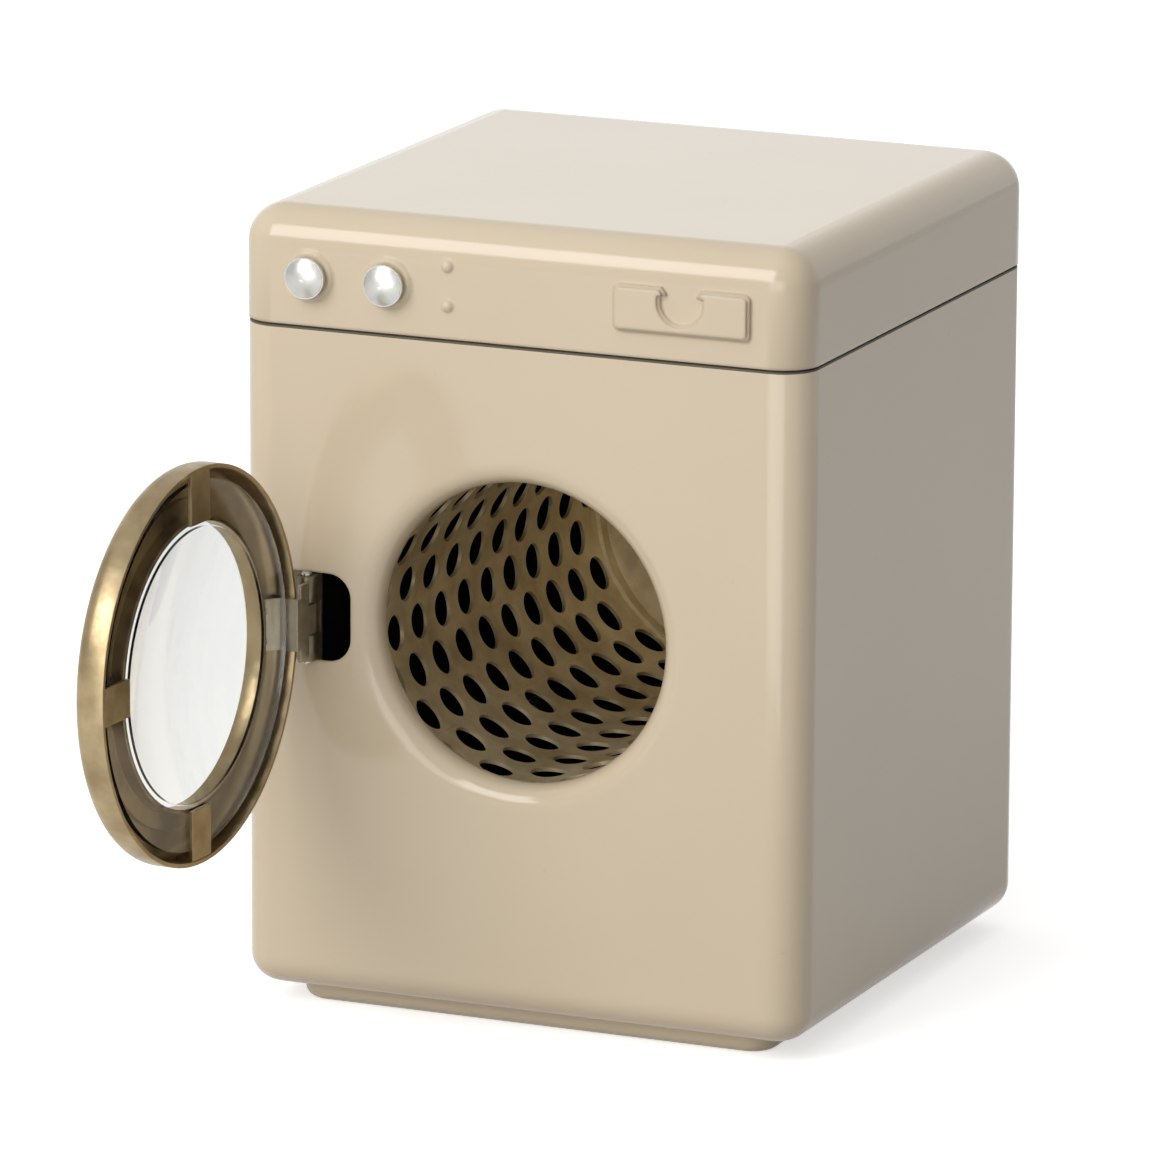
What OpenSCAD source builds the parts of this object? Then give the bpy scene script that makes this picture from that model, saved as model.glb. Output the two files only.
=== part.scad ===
/* [Cabinet] */
// Outside width of the cabinet
body_w = 80; // [78:1:90]
// Outside depth of the cabinet, front to back
body_d = 80; // [80:1:90]
// Height from the resting face to the top of the lid
total_h = 108; // [106:1:120]
// Radius of the upright corners
corner_r = 5; // [4.5:0.5:6]
// Thickness of the tinplate
sheet_t = 0.6; // [0.5:0.05:0.6]
// Height of the pressed lid
lid_h = 15.5; // [15:0.5:16]
// Height of the plinth that shows under the cabinet
plinth_h = 2.7; // [2.5:0.1:3]

/* [Loading opening] */
// Radius of the throat
throat_r = 20.1; // [19:0.1:20.1]
// Radius of the inward roll round the throat
lip_r = 3; // [2.5:0.5:3]
// Height of the throat's centre above the cabinet's bottom
opening_h = 51.2; // [50:0.1:52]

/* [Door] */
// Outside radius of the door ring
door_r = 26.2; // [26:0.1:26.4]
// Radius of the window hole in the ring
window_hole_r = 18.7; // [18.5:0.1:19]
// Depth of the ring
door_depth = 4.7; // [4.6:0.1:5]
// How far the door stands open, in degrees
door_open = 93; // [0:1:120]

/* [Drum] */
// Inside radius of the drum
drum_r = 20.6; // [20.4:0.1:21]
// Strips of sheet round the drum, each with two rows of holes
drum_strips = 11; // [8:1:11]
// Spacing of the holes along a row
hole_pitch = 7.5; // [7.2:0.1:7.6]
// Radius of a hole
hole_r = 2.4; // [1.8:0.1:2.4]

/* [Controls] */
// Radius of a control knob
knob_r = 2.75; // [2.4:0.05:2.8]
// Sideways place of the programme knob
programme_x = -29.5; // [-30:0.5:-28]
// Sideways place of the temperature knob
temperature_x = -18.3; // [-19:0.1:-17]

/* [Hidden] */
$fn = 64;
front_y = -body_d / 2;
back_y = body_d / 2;
cabinet_z = plinth_h;
seam_z = total_h - lid_h;
axis_z = cabinet_z + opening_h;
bottom_edge_r = corner_r - 1;
collar_inset = 0.5;
collar_h = 4;
lid_over = 0.1;
seam_gap = 0.25;
knob_z = seam_z + 6.9;

// Plinth
plinth_inset_x = 6;
plinth_inset_y = 5;
plinth_edge_r = 1.6;
plinth_flange = 4;
rivet_x = 31.5;
rivet_y = 20;
rivet_r = 1;

// Back panel and its bearing
window_w = 60;
window_h = 66;
window_z = (cabinet_z + seam_z) / 2;
panel_lap = 4;
panel_t = 0.8;
field_inset = 8;
field_rise = 0.8;
field_y = back_y + field_rise + panel_t;
screw_x = window_w / 2 + 2;
screw_z = [window_z - 24, window_z + 24];
screw_r = 0.9;
axle_r = 2;
running_gap = 0.05;
bush_r = 4;
bush_flange_r = 5.5;
bush_flange_t = 1.2;
bush_out = 0.5;

// Drum, measured along the machine's depth
drum_t = 0.5;
drum_front_y = front_y + lip_r + 1.2;
drum_back_y = back_y - 3.5;
first_hole_y = front_y + 7;
strip_gap = 0.02;
disc_flange = 2.6;
hub_r = 7;
washer_y = field_y - panel_t - bush_flange_t - 0.7;
washer_t = 0.5;

// Hinge, drawn with the door closed
hinge_x = -29.6;
hinge_y = front_y - 1;
pin_r = 0.7;
barrel_r = 1.3;
knuckle_half = 2;
barrel_from = 2.15;
barrel_to = 5.7;
slot_left = -33;
slot_right = -23.8;
slot_half = 5.9;
slot_corner_r = 3.2;

// Door ring, drawn closed in front of the cabinet
door_gap = 0.5;
ring_back_y = front_y - door_gap;
ring_front_y = ring_back_y - door_depth;
ring_edge_r = 2.2;
step_r = 21.6;
step_depth = 0.8;
window_rim_r = 24.2;
window_t = 0.8;
window_seat_y = ring_back_y - 1.4;
window_bulge = 2.8;
clip_w = 5;
clip_l = 6.8;
clip_t = 0.5;

// Puts local z along the machine's depth on the axis of the drum and the throat
module on_drum_axis() translate([0, 0, axis_z]) rotate([-90, 0, 0]) children();

// Puts a flat outline on a front face at depth y, extruded towards the viewer
module on_front(x, y, z, thick) translate([x, y, z]) rotate([90, 0, 0]) linear_extrude(thick) children();

// Turns what is drawn closed about the hinge pin to where the door stands
module swung_door() translate([hinge_x, hinge_y, 0]) rotate([0, 0, -door_open])
    translate([-hinge_x, -hinge_y, 0]) children();

module rounded_rect(w, h, r) {
    square([w - 2 * r, h], center = true);
    square([w, h - 2 * r], center = true);
    for (x = [-1, 1], y = [-1, 1]) translate([x * (w / 2 - r), y * (h / 2 - r)]) circle(r);
}

// A quarter of a ring of sheet, bending from the +x side to the side of sign_y
module quarter_bend(r, t, sign_y) intersection() {
    difference() {
        circle(r);
        circle(r - t);
    }
    translate([0, sign_y > 0 ? 0 : -r]) square(r);
}

// Carries a wall outline round a rounded rectangle; its x is measured out from the corner centres
module round_sweep(w, d, r) for (side = [0:3]) {
    across = side % 2 == 0 ? w : d;
    along = side % 2 == 0 ? d : w;
    rotate([0, 0, 90 * side]) translate([across / 2 - r, along / 2 - r, 0]) {
        rotate([90, 0, 0]) linear_extrude(along - 2 * r) children();
        rotate_extrude(angle = 90) children();
    }
}

// The flat sheet inside the corner centres of a rounded rectangle
module centre_plate(w, d, r, z, t)
    translate([r - w / 2, r - d / 2, z]) cube([w - 2 * r, d - 2 * r, t]);

module cabinet_wall_outline() {
    joggle_x = corner_r - sheet_t - collar_inset;
    translate([corner_r - sheet_t, cabinet_z + bottom_edge_r])
        square([sheet_t, seam_z - cabinet_z - bottom_edge_r]);
    translate([joggle_x, seam_z - sheet_t]) square([corner_r - joggle_x, sheet_t]);
    translate([joggle_x, seam_z - sheet_t]) square([sheet_t, collar_h + sheet_t]);
    translate([corner_r - bottom_edge_r, cabinet_z + bottom_edge_r])
        quarter_bend(bottom_edge_r, sheet_t, -1);
    translate([0, cabinet_z]) square([corner_r - bottom_edge_r, sheet_t]);
}

// The inward roll of the front sheet and the short throat behind it
module throat_roll() on_drum_axis() rotate_extrude() {
    translate([throat_r + lip_r, front_y + lip_r]) mirror([1, 0]) quarter_bend(lip_r, sheet_t, -1);
    translate([throat_r, front_y + lip_r]) square([sheet_t, 0.8]);
}

module hinge_slot_outline() {
    translate([slot_left, -slot_half])
        square([slot_right - slot_left - slot_corner_r, 2 * slot_half]);
    translate([slot_right - 2 * slot_corner_r, slot_corner_r - slot_half])
        square([2 * slot_corner_r, 2 * (slot_half - slot_corner_r)]);
    for (side = [-1, 1])
        translate([slot_right - slot_corner_r, side * (slot_half - slot_corner_r)]) circle(slot_corner_r);
}

module rivet_places() for (x = [-rivet_x, rivet_x], y = [-rivet_y, rivet_y]) translate([x, y, 0]) children();
module screw_places() for (x = [-screw_x, screw_x], z = screw_z)
    translate([x, back_y, z]) rotate([-90, 0, 0]) children();

module cabinet_shell() color("wheat") {
    difference() {
        union() {
            round_sweep(body_w, body_d, corner_r) cabinet_wall_outline();
            centre_plate(body_w, body_d, corner_r, cabinet_z, sheet_t);
        }
        on_drum_axis() translate([0, 0, front_y - 1]) cylinder(r = throat_r + lip_r, h = 3);
        on_front(0, front_y + 2, axis_z, 3) hinge_slot_outline();
        on_front(0, back_y + 1, window_z, 3) rounded_rect(window_w, window_h, 4);
        screw_places() translate([0, 0, -2]) cylinder(r = screw_r, h = 3);
        rivet_places() translate([0, 0, cabinet_z - 1]) cylinder(r = rivet_r, h = 3);
    }
    throat_roll();
}

module lid_wall_outline() {
    r = corner_r + lid_over;
    translate([r - sheet_t, seam_z + seam_gap]) square([sheet_t, lid_h - seam_gap - r]);
    translate([0, total_h - r]) quarter_bend(r, sheet_t, 1);
}

// The pressed detergent drawer front: a raised plate with a notch and a round finger recess
module drawer_outline(inset) difference() {
    translate([0, -0.05]) rounded_rect(19 - 2 * inset, 6.1 - 2 * inset, 0.8 - inset / 2);
    polygon([[-2.8 - inset, 3.1], [-2 - inset, 1.9 - inset], [2 + inset, 1.9 - inset], [2.8 + inset, 3.1]]);
    intersection() {
        translate([0, 1.2]) circle(3 + inset);
        translate([-4, -4]) square([8, 6]);
    }
}

module top_cover() color("wheat") {
    face_y = front_y - lid_over;
    r = corner_r + lid_over;
    w = body_w + 2 * lid_over;
    d = body_d + 2 * lid_over;
    difference() {
        union() {
            round_sweep(w, d, r) lid_wall_outline();
            centre_plate(w, d, r, total_h - sheet_t, sheet_t);
            for (x = [programme_x, temperature_x]) translate([x, face_y + 0.3, knob_z]) rotate([90, 0, 0])
                cylinder(r1 = 3.7, r2 = 3.1, h = 0.8);
            on_front(23.1, face_y + 0.3, seam_z + 6.8, 0.8) drawer_outline(0);
            on_front(23.1, face_y + 0.3, seam_z + 6.8, 1.15) drawer_outline(0.35);
            for (z = [4.65, 9.9]) intersection() {
                translate([-9.9, face_y + 0.35, seam_z + z]) sphere(0.95);
                translate([-12, face_y - 2, seam_z]) cube([4, 2.3, lid_h]);
            }
        }
        for (x = [programme_x, temperature_x]) translate([x, face_y + 2, knob_z]) rotate([90, 0, 0])
            cylinder(r = 1.25, h = 4);
    }
}

// A shallow pan with a flat bottom; its wall turns in at the top as the flange that is riveted
module plinth_wall_outline(r) {
    translate([0, plinth_h - sheet_t]) square([r, sheet_t]);
    translate([r - sheet_t, plinth_edge_r]) square([sheet_t, plinth_h - plinth_edge_r]);
    translate([r - plinth_edge_r, plinth_edge_r]) quarter_bend(plinth_edge_r, sheet_t, -1);
    square([r - plinth_edge_r, sheet_t]);
}

module base_plinth() color("wheat") {
    w = body_w - 2 * plinth_inset_x;
    d = body_d - 2 * plinth_inset_y;
    difference() {
        union() {
            round_sweep(w, d, plinth_flange) plinth_wall_outline(plinth_flange);
            centre_plate(w, d, plinth_flange, 0, sheet_t);
        }
        rivet_places() translate([0, 0, plinth_h - 1]) cylinder(r = rivet_r, h = 3);
    }
}

module base_rivets() color("silver") rivet_places() {
    translate([0, 0, cabinet_z - sheet_t - 0.5]) cylinder(r = rivet_r, h = 2 * sheet_t + 1);
    translate([0, 0, cabinet_z - sheet_t - 0.5]) cylinder(r1 = 1.2, r2 = 1.5, h = 0.5);
    translate([0, 0, cabinet_z + sheet_t]) cylinder(r1 = 1.9, r2 = 1.4, h = 0.5);
}

module back_panel() color("tan") difference() {
    union() {
        on_front(0, back_y + panel_t, window_z, panel_t)
            rounded_rect(window_w + 2 * panel_lap, window_h + 2 * panel_lap, 5);
        on_front(0, field_y, window_z, field_rise + panel_t)
            rounded_rect(window_w - field_inset, window_h - field_inset, 4);
    }
    on_front(0, back_y + field_rise, window_z, field_rise + 1)
        rounded_rect(window_w - field_inset - 2 * panel_t, window_h - field_inset - 2 * panel_t, 3.2);
    on_drum_axis() translate([0, 0, back_y - 1]) cylinder(r = bush_r, h = 5);
    screw_places() cylinder(r = screw_r, h = 3);
}

module back_panel_screws() color("silver") screw_places() difference() {
    union() {
        translate([0, 0, -2.5]) cylinder(r = screw_r, h = panel_t + 3);
        translate([0, 0, panel_t]) cylinder(r1 = 1.8, r2 = 1.3, h = 1);
    }
    translate([-2, -0.25, panel_t + 0.6]) cube([4, 0.5, 1]);
}

module bearing_bush() color("goldenrod") on_drum_axis() difference() {
    union() {
        translate([0, 0, field_y - panel_t - bush_flange_t]) cylinder(r = bush_flange_r, h = bush_flange_t);
        translate([0, 0, field_y - panel_t]) cylinder(r = bush_r, h = panel_t + bush_out);
        translate([0, 0, field_y]) cylinder(r = bush_r + 0.7, h = bush_out);
    }
    translate([0, 0, back_y - 2]) cylinder(r = axle_r + running_gap, h = 6);
}

// The leaf fixed behind the front sheet; its two straps roll round the pin through the slot
module hinge_bracket() color("slategray") difference() {
    union() {
        translate([corner_r - body_w / 2 + 0.2, front_y + sheet_t, axis_z - 8])
            cube([body_w / 2 - corner_r - 0.2 + hinge_x + barrel_r, sheet_t, 16]);
        for (low = [-barrel_to, barrel_from]) translate([hinge_x, hinge_y, axis_z + low]) {
            cylinder(r = barrel_r, h = barrel_to - barrel_from);
            translate([barrel_r - 0.6, 0, 0])
                cube([0.6, front_y - hinge_y + 2 * sheet_t, barrel_to - barrel_from]);
        }
    }
    translate([hinge_x, hinge_y, axis_z - 9]) cylinder(r = pin_r + running_gap, h = 18);
}

module door_frame_outline() {
    bend_y = ring_front_y + ring_edge_r;
    low_y = ring_front_y + step_depth;
    translate([door_r - sheet_t, bend_y]) square([sheet_t, ring_back_y - bend_y]);
    translate([door_r - ring_edge_r, bend_y]) quarter_bend(ring_edge_r, sheet_t, -1);
    translate([step_r, ring_front_y]) square([door_r - ring_edge_r - step_r, sheet_t]);
    translate([step_r - sheet_t, ring_front_y]) square([sheet_t, step_depth + sheet_t]);
    translate([window_hole_r, low_y]) square([step_r - window_hole_r, sheet_t]);
    translate([window_hole_r, low_y]) square([sheet_t, window_seat_y - low_y]);
}

module door_frame() color("darkgoldenrod") swung_door() difference() {
    on_drum_axis() rotate_extrude() door_frame_outline();
    leaf_rivet_places() translate([0, 0, -3]) cylinder(r = 0.5, h = 6);
}

// A clear disc that bulges out through the ring's hole
module door_window() color("whitesmoke", 0.5) swung_door() on_drum_axis() rotate_extrude() {
    dome_r = window_hole_r - 0.5;
    ball_r = (dome_r * dome_r + window_bulge * window_bulge) / (2 * window_bulge);
    translate([dome_r, window_seat_y]) square([window_rim_r - dome_r, window_t]);
    intersection() {
        translate([0, window_seat_y - window_bulge + ball_r]) difference() {
            circle(ball_r);
            circle(ball_r - window_t);
        }
        translate([0, window_seat_y - window_bulge - 1]) square([dome_r, window_bulge + window_t + 1]);
    }
}

// A tab folded from the ring's wall over the edge of the window
module window_clip(turn) color("goldenrod") swung_door() on_drum_axis() rotate([0, 0, turn]) intersection() {
    union() {
        translate([door_r - sheet_t - clip_l, -clip_w / 2, window_seat_y + window_t])
            cube([clip_l + 1, clip_w, clip_t]);
        translate([door_r - 2 * sheet_t, -clip_w / 2, ring_front_y + ring_edge_r])
            cube([1, clip_w, window_seat_y + window_t - ring_front_y - ring_edge_r]);
    }
    translate([0, 0, ring_front_y]) cylinder(r = door_r - sheet_t, h = door_depth);
}

module window_clip_top() window_clip(-90);
module window_clip_bottom() window_clip(90);
module window_clip_side() window_clip(0);

module leaf_rivet_places() for (side = [-1, 1])
    translate([-step_r - 0.85, ring_front_y + sheet_t, axis_z + 2 * side]) rotate([-90, 0, 0]) children();

// The door's leaf, from its knuckle through the slot and round the ring's wall to its foot
module hinge_leaf() color("darkgoldenrod") swung_door() difference() {
    leaf_t = 0.5;
    leaf_y = hinge_y + barrel_r - 0.05 - leaf_t;
    wall_x = -door_r + 0.9;
    floor_y = ring_front_y + sheet_t;
    union() {
        translate([hinge_x, hinge_y, axis_z - knuckle_half]) cylinder(r = barrel_r, h = 2 * knuckle_half);
        translate([hinge_x, leaf_y, axis_z - knuckle_half]) cube([3, leaf_t, 2 * knuckle_half]);
        translate([hinge_x + 1.6, leaf_y, axis_z - 5.2]) cube([2.3, leaf_t, 10.4]);
        translate([0, 0, axis_z - 3.5]) linear_extrude(7) polygon([
            [hinge_x + 3, leaf_y], [wall_x, leaf_y], [wall_x, floor_y + 1.6], [-step_r - 1.4, floor_y],
            [-step_r - 0.1, floor_y], [-step_r - 0.1, floor_y + leaf_t], [-step_r - 1.6, floor_y + leaf_t],
            [wall_x + 0.6, floor_y + 1.8], [wall_x + 0.6, leaf_y + leaf_t], [hinge_x + 3, leaf_y + leaf_t]]);
    }
    translate([hinge_x, hinge_y, axis_z - 9]) cylinder(r = pin_r, h = 18);
    leaf_rivet_places() translate([0, 0, -3]) cylinder(r = 0.5, h = 4);
}

module hinge_leaf_rivets() color("silver") swung_door() leaf_rivet_places() {
    translate([0, 0, -sheet_t - 0.3]) cylinder(r = 0.5, h = sheet_t + 1.2);
    translate([0, 0, -sheet_t - 0.35]) cylinder(r1 = 0.5, r2 = 0.7, h = 0.35);
    translate([0, 0, 0.5]) cylinder(r1 = 0.7, r2 = 0.5, h = 0.4);
}

module hinge_pin() color("silver") swung_door() translate([hinge_x, hinge_y, axis_z]) {
    translate([0, 0, -6]) cylinder(r = pin_r, h = 12);
    translate([0, 0, 6]) cylinder(r1 = pin_r, r2 = pin_r - 0.25, h = 0.25);
    translate([0, 0, -6.25]) cylinder(r1 = pin_r - 0.25, r2 = pin_r, h = 0.25);
}

// A rolled tube of perforated sheet in strips that meet along the webs between the rows of holes;
// the staggered rows run on past its cut front edge
module drum_shell() color("darkkhaki") on_drum_axis() for (strip = [0:drum_strips - 1]) {
    strip_angle = 360 / drum_strips;
    seam_angle = strip_gap / drum_r * 180 / PI;
    rotate([0, 0, strip * strip_angle]) difference() {
        translate([0, 0, drum_front_y]) rotate([0, 0, seam_angle / 2])
            rotate_extrude(angle = strip_angle - seam_angle)
            translate([drum_r, 0]) square([drum_t, drum_back_y - drum_front_y]);
        for (row = [0, 1], hole = [0:8 + row])
            rotate([0, 0, (row + 0.5) * strip_angle / 2])
            translate([drum_r - 1, 0, first_hole_y + hole_pitch * (hole - row / 2)])
            rotate([0, 90, 0]) cylinder(r = hole_r, h = 3);
    }
}

module drum_back_disc() color("darkkhaki") on_drum_axis() difference() {
    union() {
        translate([0, 0, drum_back_y - sheet_t]) cylinder(r = drum_r, h = sheet_t);
        translate([0, 0, drum_back_y - disc_flange]) difference() {
            cylinder(r = drum_r, h = disc_flange);
            translate([0, 0, -1]) cylinder(r = drum_r - sheet_t, h = disc_flange + 2);
        }
    }
    translate([0, 0, drum_back_y - 3]) cylinder(r = axle_r, h = 6);
}

module drum_hub() color("gray") on_drum_axis() difference() {
    union() {
        translate([0, 0, drum_back_y]) cylinder(r = hub_r, h = 0.8);
        translate([0, 0, drum_back_y + 0.8]) cylinder(r = hub_r / 2, h = washer_y - drum_back_y - 0.8);
    }
    translate([0, 0, drum_back_y - 1]) cylinder(r = axle_r, h = 8);
}

module drum_axle() color("silver") on_drum_axis() {
    translate([0, 0, drum_back_y - sheet_t]) cylinder(r = axle_r, h = field_y + 2 - drum_back_y + sheet_t);
    translate([0, 0, field_y + 2]) cylinder(r1 = axle_r, r2 = axle_r - 0.4, h = 0.4);
    translate([0, 0, drum_back_y - sheet_t - 1]) cylinder(r1 = 2.6, r2 = 3.4, h = 1);
}

module thrust_washer() color("silver") on_drum_axis() translate([0, 0, washer_y]) difference() {
    cylinder(r = 4.4, h = washer_t);
    translate([0, 0, -1]) cylinder(r = axle_r, h = 3);
}

module axle_push_nut() color("silver") on_drum_axis() translate([0, 0, field_y + bush_out + 0.15]) difference() {
    union() {
        cylinder(r = 4.2, h = 0.4);
        translate([0, 0, 0.4]) cylinder(r1 = 3, r2 = 2.5, h = 0.4);
    }
    translate([0, 0, -1]) cylinder(r = axle_r, h = 3);
}

// Local z runs out of the lid's front face at a knob's centre
module at_knob(x) translate([x, front_y - lid_over, knob_z]) rotate([90, 0, 0]) children();

// A domed head on a short shank, with a hole for the spindle
module control_knob() difference() {
    rotate_extrude() {
        translate([0, 0.6]) square([1.8, 0.8]);
        translate([0, 1.3]) square([knob_r, 0.5]);
        intersection() {
            translate([0, 1.8 + 1 - 4.3]) circle(4.3);
            translate([0, 1.8]) square([knob_r - 0.15, 2]);
        }
    }
    translate([0, 0, -1]) cylinder(r = 0.8, h = 2.9);
}

module control_spindle() {
    translate([0, 0, -2.4]) cylinder(r = 1.2, h = 3);
    translate([0, 0, 0.5]) cylinder(r = 0.8, h = 1.4);
}

// A disc pressed on the spindle behind the lid's sheet
module control_push_nut() translate([0, 0, -sheet_t - 0.7]) difference() {
    cylinder(r = 2.3, h = 0.6);
    translate([0, 0, -1]) cylinder(r = 1.2, h = 3);
}

module programme_knob() color("silver") at_knob(programme_x) control_knob();
module programme_spindle() color("gray") at_knob(programme_x) control_spindle();
module programme_push_nut() color("gray") at_knob(programme_x) control_push_nut();
module temperature_knob() color("silver") at_knob(temperature_x) control_knob();
module temperature_spindle() color("gray") at_knob(temperature_x) control_spindle();
module temperature_push_nut() color("gray") at_knob(temperature_x) control_push_nut();

cabinet_shell();
top_cover();
base_plinth();
base_rivets();
back_panel();
back_panel_screws();
bearing_bush();
hinge_bracket();
door_frame();
door_window();
window_clip_top();
window_clip_bottom();
window_clip_side();
hinge_leaf();
hinge_leaf_rivets();
hinge_pin();
drum_shell();
drum_back_disc();
drum_hub();
drum_axle();
thrust_washer();
axle_push_nut();
programme_knob();
programme_spindle();
programme_push_nut();
temperature_knob();
temperature_spindle();
temperature_push_nut();
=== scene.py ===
import math

import bpy
from mathutils import Matrix, Vector

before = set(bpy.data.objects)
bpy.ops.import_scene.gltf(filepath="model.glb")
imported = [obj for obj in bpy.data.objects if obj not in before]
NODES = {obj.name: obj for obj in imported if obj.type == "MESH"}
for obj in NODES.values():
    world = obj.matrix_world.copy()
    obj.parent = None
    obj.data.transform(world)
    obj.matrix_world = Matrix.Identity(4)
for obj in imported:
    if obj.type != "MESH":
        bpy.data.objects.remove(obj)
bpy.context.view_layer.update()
MM = 0.001

# The photograph's view: a long lens, from the front and a little to the right
FRAME_PX = 1160
FOCAL_PX = 10000
SENSOR_MM = 36
AZIMUTH = math.radians(23.36)
ELEVATION = math.radians(13.46)
ROLL = math.radians(0.28)
TARGET = Vector((-8.29, 0, 52.13)) * MM
DISTANCE = 1339.4 * MM
CLIP_NEAR, CLIP_FAR = 0.05, 20

# The middle of the cabinet, which the lamps point at and inner faces are turned to
BODY_MIDDLE = Vector((0, 0, 0.055))

# Bare tin, painted near-black as painted shade, starts behind these depths, on faces that are turned to the
# middle
SHEET_BACK_Y = -36.1 * MM
LID_BACK_Y = -39.9 * MM
# The cabinet's collar, which the lid is pressed over, starts at this height
COLLAR_Z = 92.2 * MM

# The top of the window's dome where the door stands at rest, and how far its flat normals reach
DOME_TOP = Vector((-34.06, -70.93, 53.9)) * MM
POLE_RADIUS = 2.2 * MM

ENAMEL_EDGE_RADIUS = 0.7 * MM
WELD_GAP = 0.002 * MM
SHEET_BEVEL = 0.2 * MM
FITTING_BEVEL = 0.08 * MM
BEVEL_SEGMENTS = 2
BEVEL_ANGLE = math.radians(35)
FLOOR_SIZE = 12


def srgb(r, g, b):
    """A colour given on the 0 to 255 scale, as the shader's linear numbers."""
    def linear(v):
        v /= 255
        return v / 12.92 if v <= 0.04045 else ((v + 0.055) / 1.055) ** 2.4
    return (linear(r), linear(g), linear(b), 1)


def make_camera():
    back = Vector((math.sin(AZIMUTH) * math.cos(ELEVATION),
                   -math.cos(AZIMUTH) * math.cos(ELEVATION), math.sin(ELEVATION)))
    right = Vector((math.cos(AZIMUTH), math.sin(AZIMUTH), 0))
    up = back.cross(right)
    rolled_right = right * math.cos(ROLL) + up * math.sin(ROLL)
    rolled_up = up * math.cos(ROLL) - right * math.sin(ROLL)
    data = bpy.data.cameras.new("camera")
    data.sensor_width = SENSOR_MM
    data.lens = FOCAL_PX / FRAME_PX * SENSOR_MM
    data.clip_start, data.clip_end = CLIP_NEAR, CLIP_FAR
    cam = bpy.data.objects.new("camera", data)
    bpy.context.scene.collection.objects.link(cam)
    turn = Matrix((rolled_right, rolled_up, back)).transposed().to_4x4()
    cam.matrix_world = Matrix.Translation(TARGET + back * DISTANCE) @ turn
    bpy.context.scene.camera = cam


def area_lamp(name, place, size, power):
    data = bpy.data.lights.new(name, "AREA")
    data.size, data.energy = size, power
    lamp = bpy.data.objects.new(name, data)
    bpy.context.scene.collection.objects.link(lamp)
    lamp.location = place
    lamp.rotation_euler = (BODY_MIDDLE - lamp.location).to_track_quat("-Z", "Y").to_euler()


class Nodes:
    """A node tree with short calls for adding and joining its nodes."""

    def __init__(self, tree):
        self.tree = tree
        tree.nodes.clear()

    def add(self, kind, **settings):
        node = self.tree.nodes.new(kind)
        for key, value in settings.items():
            setattr(node, key, value)
        return node

    def join(self, source, target):
        """Links an output to the input target, or sets the input where source is a value."""
        if isinstance(source, bpy.types.NodeSocket):
            self.tree.links.new(source, target)
        else:
            target.default_value = source

    def noise(self, place, scale, detail=3, roughness=0.5):
        node = self.add("ShaderNodeTexNoise")
        for key, value in (("Scale", scale), ("Detail", detail), ("Roughness", roughness), ("Vector", place)):
            self.join(value, node.inputs[key])
        return node.outputs["Fac"]

    def remap(self, value, low, high, to_low, to_high):
        node = self.add("ShaderNodeMapRange")
        names = ("Value", "From Min", "From Max", "To Min", "To Max")
        for key, number in zip(names, (value, low, high, to_low, to_high)):
            self.join(number, node.inputs[key])
        return node.outputs["Result"]

    def math(self, operation, first, second):
        node = self.add("ShaderNodeMath", operation=operation)
        self.join(first, node.inputs[0])
        self.join(second, node.inputs[1])
        return node.outputs[0]

    def vector_math(self, operation, first, second):
        """The node itself, as some operations give a vector and some a number."""
        node = self.add("ShaderNodeVectorMath", operation=operation)
        self.join(first, node.inputs[0])
        self.join(second, node.inputs[1])
        return node

    def mix(self, amount, first, second):
        node = self.add("ShaderNodeMix", data_type="RGBA")
        # Of this node's many inputs, 6 and 7 are the two colours
        for index, value in ((0, amount), (6, first), (7, second)):
            self.join(value, node.inputs[index])
        return node.outputs[2]

    def bump(self, height, distance, strength):
        node = self.add("ShaderNodeBump")
        for key, value in (("Distance", distance), ("Strength", strength), ("Height", height)):
            self.join(value, node.inputs[key])
        return node


def new_material(name):
    """A material with one shader; returns it, its nodes, the shader and the object's coordinates."""
    mat = bpy.data.materials.new(name)
    mat.use_nodes = True
    n = Nodes(mat.node_tree)
    shader = n.add("ShaderNodeBsdfPrincipled")
    out = n.add("ShaderNodeOutputMaterial")
    n.join(shader.outputs[0], out.inputs["Surface"])
    place = n.add("ShaderNodeTexCoord").outputs["Object"]
    return mat, n, shader, place


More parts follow.
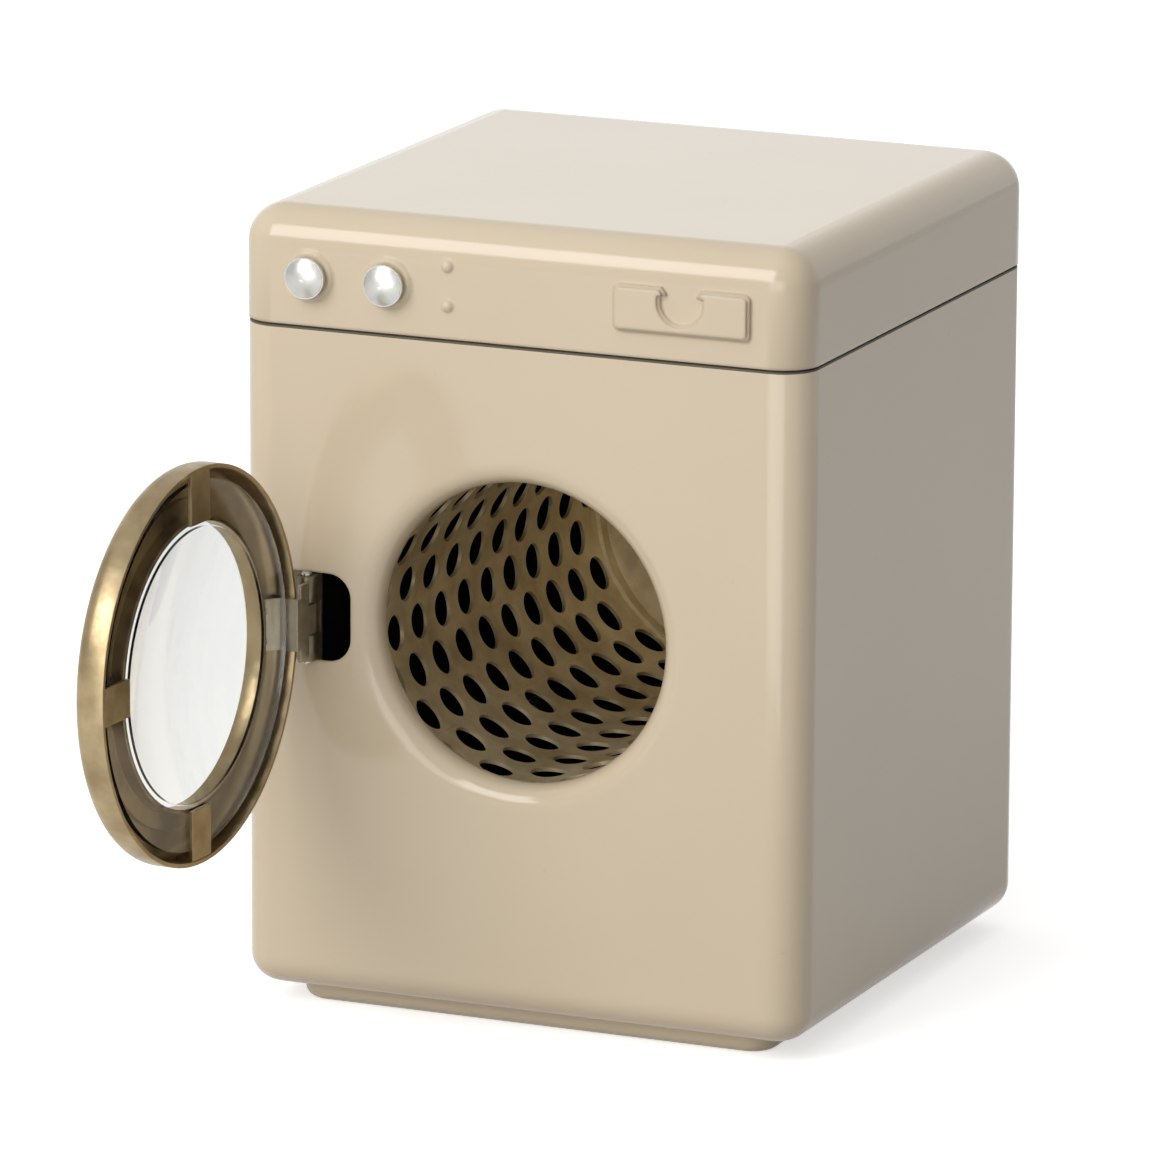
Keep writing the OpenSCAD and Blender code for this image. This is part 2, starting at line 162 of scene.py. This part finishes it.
def enamel(name, inner_y, collar_z=None):
    """Glossy cream enamel; faces turned to the middle, behind inner_y, are bare tin painted near-black as
    painted shade.

    The collar above collar_z is bare tin too, darkened as painted shade for the gap under the lid, though
    lighter than the inside.
    """
    mat, n, shader, place = new_material(name)
    cream, warm, chip = srgb(217, 200, 173), srgb(211, 193, 165), srgb(176, 154, 120)
    # Bare tin colours: the inside is painted near-black as painted shade, the collar is darkened as painted
    # shade for the gap under the lid
    bare_tin_painted_shade, collar_tin_painted_shade = srgb(10, 9, 7), srgb(96, 88, 72)
    cloud = n.remap(n.noise(place, 22), 0.38, 0.68, 0, 0.5)
    speck = n.remap(n.noise(place, 800, 1), 0.77, 0.82, 0, 0.15)
    colour = n.mix(speck, n.mix(cloud, cream, warm), chip)
    smear = n.remap(n.noise(place, 70, 4), 0.35, 0.7, 0.1, 0.16)

    from_middle = n.vector_math("SUBTRACT", place, BODY_MIDDLE).outputs[0]
    flat_normal = n.add("ShaderNodeNewGeometry").outputs["True Normal"]
    facing = n.vector_math("DOT_PRODUCT", from_middle, flat_normal).outputs["Value"]
    split = n.add("ShaderNodeSeparateXYZ")
    n.join(place, split.inputs[0])
    behind = n.math("GREATER_THAN", split.outputs[1], inner_y)
    bare_tin_shade_mask = n.math("MULTIPLY", n.math("LESS_THAN", facing, 0), behind)
    if collar_z is not None:
        collar = n.math("GREATER_THAN", split.outputs[2], collar_z)
        bare_tin_shade_mask = n.math("MAXIMUM", bare_tin_shade_mask, collar)
        # Painted shade: the collar's bare tin is darkened for the gap under the lid
        bare_tin_painted_shade = n.mix(collar, bare_tin_painted_shade, collar_tin_painted_shade)
    # Painted shade: inner faces and the collar get the darkened bare tin colour
    n.join(n.mix(bare_tin_shade_mask, colour, bare_tin_painted_shade), shader.inputs["Base Color"])
    n.join(n.math("MAXIMUM", smear, n.math("MULTIPLY", bare_tin_shade_mask, 0.9)), shader.inputs["Roughness"])

    rounded = n.add("ShaderNodeBevel", samples=6)
    n.join(ENAMEL_EDGE_RADIUS, rounded.inputs["Radius"])
    peel = n.bump(n.noise(place, 160, 2), 0.03 * MM, 0.35)
    n.join(rounded.outputs["Normal"], peel.inputs["Normal"])
    n.join(peel.outputs["Normal"], shader.inputs["Normal"])
    shader.inputs["Coat Weight"].default_value = 0.3
    shader.inputs["Specular IOR Level"].default_value = 0.4
    shader.inputs["Coat Roughness"].default_value = 0.06
    return mat


def metal(name, light, dark, roughness, grain, patch_scale=160.0, metallic=1.0):
    """Metal with stained patches, and a fine grain of that depth in mm."""
    mat, n, shader, place = new_material(name)
    patch = n.remap(n.noise(place, patch_scale, 5, 0.6), 0.35, 0.68, 0, 1)
    n.join(n.mix(patch, srgb(*light), srgb(*dark)), shader.inputs["Base Color"])
    fine = n.noise(place, 1500)
    n.join(n.remap(fine, 0.3, 0.7, *roughness), shader.inputs["Roughness"])
    n.join(n.bump(fine, grain * MM, 0.4).outputs["Normal"], shader.inputs["Normal"])
    shader.inputs["Metallic"].default_value = metallic
    return mat


def clear_plastic(name):
    """Clear, slightly hazed plastic; at the dome's top the flat normal hides the mesh's pole."""
    mat, n, shader, place = new_material(name)
    haze = n.remap(n.noise(place, 90, 4), 0.4, 0.75, 0.03, 0.12)
    n.join(haze, shader.inputs["Roughness"])
    tint = n.remap(n.noise(place, 40, 2), 0.3, 0.7, 0, 1)
    n.join(n.mix(tint, srgb(232, 232, 230), srgb(227, 228, 226)), shader.inputs["Base Color"])
    from_pole = n.vector_math("DISTANCE", place, DOME_TOP).outputs["Value"]
    faces = n.add("ShaderNodeNewGeometry")
    near_pole = n.math("LESS_THAN", from_pole, POLE_RADIUS)
    n.join(n.mix(near_pole, faces.outputs["Normal"], faces.outputs["True Normal"]), shader.inputs["Normal"])
    shader.inputs["Transmission Weight"].default_value = 1.0
    shader.inputs["IOR"].default_value = 1.46
    return mat


def make_materials():
    return {
        "cabinet": enamel("cream_enamel", SHEET_BACK_Y, COLLAR_Z),
        "lid": enamel("cream_lid", LID_BACK_Y),
        "panel": enamel("cream_panel", SHEET_BACK_Y),
        "gilt": metal("door_gilt", (179, 160, 126), (150, 131, 98), (0.28, 0.4), 0.008),
        "leaf": metal("leaf_gilt", (206, 196, 176), (168, 154, 124), (0.3, 0.45), 0.015, metallic=0.85),
        "drum": metal("drum_bronze", (234, 218, 182), (192, 172, 132), (0.36, 0.5), 0.02,
                      patch_scale=120.0, metallic=0.6),
        "knob": metal("knob_chrome", (218, 218, 214), (188, 187, 182), (0.3, 0.44), 0.015),
        "steel": metal("bright_steel", (205, 205, 203), (160, 158, 152), (0.2, 0.34), 0.01),
        "plated": metal("plated_steel", (136, 128, 108), (96, 87, 68), (0.3, 0.45), 0.02, metallic=0.85),
        "brass": metal("bush_brass", (206, 178, 112), (150, 118, 60), (0.2, 0.34), 0.01),
        "window": clear_plastic("clear_window"),
    }


NODE_MATERIAL = {
    "cabinet_shell": "cabinet", "top_cover": "lid", "base_plinth": "panel", "back_panel": "panel",
    "base_rivets": "steel", "back_panel_screws": "steel", "bearing_bush": "brass",
    "hinge_bracket": "plated", "door_frame": "gilt", "door_window": "window",
    "window_clip_top": "gilt", "window_clip_bottom": "gilt", "window_clip_side": "gilt",
    "hinge_leaf": "leaf", "hinge_leaf_rivets": "steel", "hinge_pin": "steel",
    "drum_shell": "drum", "drum_back_disc": "drum", "drum_hub": "plated", "drum_axle": "steel",
    "thrust_washer": "steel", "axle_push_nut": "steel",
    "programme_knob": "knob", "programme_spindle": "plated", "programme_push_nut": "steel",
    "temperature_knob": "knob", "temperature_spindle": "plated", "temperature_push_nut": "steel",
}


def dress_nodes(materials):
    for name, obj in NODES.items():
        obj.data.materials.clear()
        obj.data.materials.append(materials[NODE_MATERIAL[name]])


def soften_edges(names, width):
    """Rounds the cut and pressed edges a little, as enamel and tumbling leave them."""
    for name in names:
        weld = NODES[name].modifiers.new("weld", "WELD")
        weld.merge_threshold = WELD_GAP
        bevel = NODES[name].modifiers.new("bevel", "BEVEL")
        bevel.width = width
        bevel.segments = BEVEL_SEGMENTS
        bevel.limit_method = "ANGLE"
        bevel.angle_limit = BEVEL_ANGLE
        bevel.harden_normals = True


def make_floor():
    """Pale paper that shows white to the camera and keeps the object's shadow."""
    bpy.ops.mesh.primitive_plane_add(size=FLOOR_SIZE, location=(0, 0, 0))
    floor = bpy.context.object
    floor.name = "floor"
    mat = bpy.data.materials.new("floor_paper")
    mat.use_nodes = True
    n = Nodes(mat.node_tree)
    out = n.add("ShaderNodeOutputMaterial")
    paper = n.add("ShaderNodeBsdfDiffuse")
    glow = n.add("ShaderNodeEmission")
    path = n.add("ShaderNodeLightPath")
    pale, light_it_throws = (0.86, 0.86, 0.86, 1), (0.5, 0.49, 0.47, 1)
    n.join(n.mix(path.outputs["Is Diffuse Ray"], pale, light_it_throws), paper.inputs["Color"])
    glossy = n.math("MULTIPLY", path.outputs["Is Glossy Ray"], 0.35)
    seen = n.math("MAXIMUM", path.outputs["Is Camera Ray"], path.outputs["Is Transmission Ray"])
    n.join(n.math("MAXIMUM", glossy, n.math("MULTIPLY", seen, 0.6)), glow.inputs["Strength"])
    both = n.add("ShaderNodeAddShader")
    n.join(paper.outputs[0], both.inputs[0])
    n.join(glow.outputs[0], both.inputs[1])
    n.join(both.outputs[0], out.inputs["Surface"])
    floor.data.materials.append(mat)


def make_world():
    """White wherever it is seen; as a light it is softer, strongest from above, dim from the right.

    A bright card stands low behind the object, for the lid's top to reflect.
    """
    world = bpy.data.worlds.new("studio")
    world.use_nodes = True
    bpy.context.scene.world = world
    n = Nodes(world.node_tree)
    out = n.add("ShaderNodeOutputWorld")
    split = n.add("ShaderNodeSeparateXYZ")
    n.join(n.add("ShaderNodeTexCoord").outputs["Generated"], split.inputs[0])
    across, deep, up = split.outputs
    level = n.math("ADD", n.remap(across, 0.1, 0.8, 0.6, 0.04), n.remap(up, 0.4, 1, 0, 0.45))
    card = n.math("MULTIPLY", n.remap(deep, 0.3, 0.7, 0, 0.4), n.remap(up, 0.3, 0.5, 1, 0))
    path = n.add("ShaderNodeLightPath").outputs
    seen = n.math("MAXIMUM", path["Is Camera Ray"], path["Is Glossy Ray"])
    seen = n.math("MAXIMUM", seen, path["Is Transmission Ray"])
    sky = n.add("ShaderNodeBackground")
    n.join(n.math("MAXIMUM", level, n.math("ADD", seen, card)), sky.inputs["Strength"])
    n.join(sky.outputs[0], out.inputs["Surface"])


make_camera()
dress_nodes(make_materials())
soften_edges(["top_cover", "cabinet_shell"], SHEET_BEVEL)
soften_edges(["door_frame", "window_clip_top", "window_clip_bottom", "window_clip_side",
              "hinge_leaf", "hinge_bracket"], FITTING_BEVEL)
make_floor()
make_world()
area_lamp("key", (-0.3, -0.75, 0.6), size=0.5, power=3.6)
area_lamp("fill", (0.1, -1.1, 0.12), size=0.8, power=3.9)
bpy.context.scene.view_settings.view_transform = "Standard"
